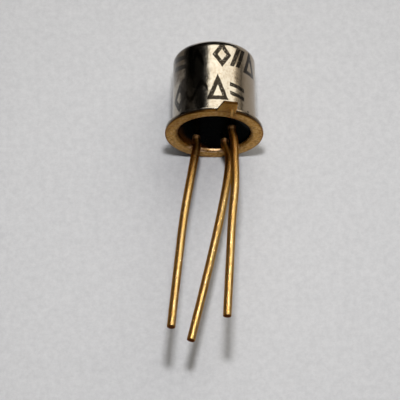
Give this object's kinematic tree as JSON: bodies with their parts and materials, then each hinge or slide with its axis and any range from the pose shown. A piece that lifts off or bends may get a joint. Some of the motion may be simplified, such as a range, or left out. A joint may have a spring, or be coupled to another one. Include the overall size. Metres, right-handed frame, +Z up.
{
  "type": "metal-can transistor",
  "caption": "Small metal-can field-effect transistor with a gold flanged header, locating tab, dark glass seal and bent gold wire leads, lying on its side.",
  "frame": {"origin": "on the surface that the can lies on, under the middle of its box", "axes": "+Z up, +Y along the can's length towards the cap, the leads point to -Y and lean up a little, +X to the right as seen from the leads"},
  "size_m": [0.0056, 0.0178, 0.0065],
  "materials": {
    "cap_nickel": "bright drawn nickel, lightly tarnished, with black ink marks",
    "header_gold": "satin gold plating",
    "seal_glass": "glossy opaque dark green-black glass",
    "lead_gold": "gold plating with fine drawing lines",
    "silicon": "polished grey silicon",
    "bond_gold": "bright gold"
  },
  "bodies": {
    "root": {"cap": "cap_nickel", "header": "header_gold", "glass_seal": "seal_glass", "lead_1": "lead_gold", "lead_2": "lead_gold", "lead_3": "lead_gold", "die": "silicon", "die_attach": "bond_gold", "bond_gate_1": "bond_gold", "bond_gate_2": "bond_gold", "bond_drain": "bond_gold", "bond_source": "bond_gold"}
  },
  "joints": []
}
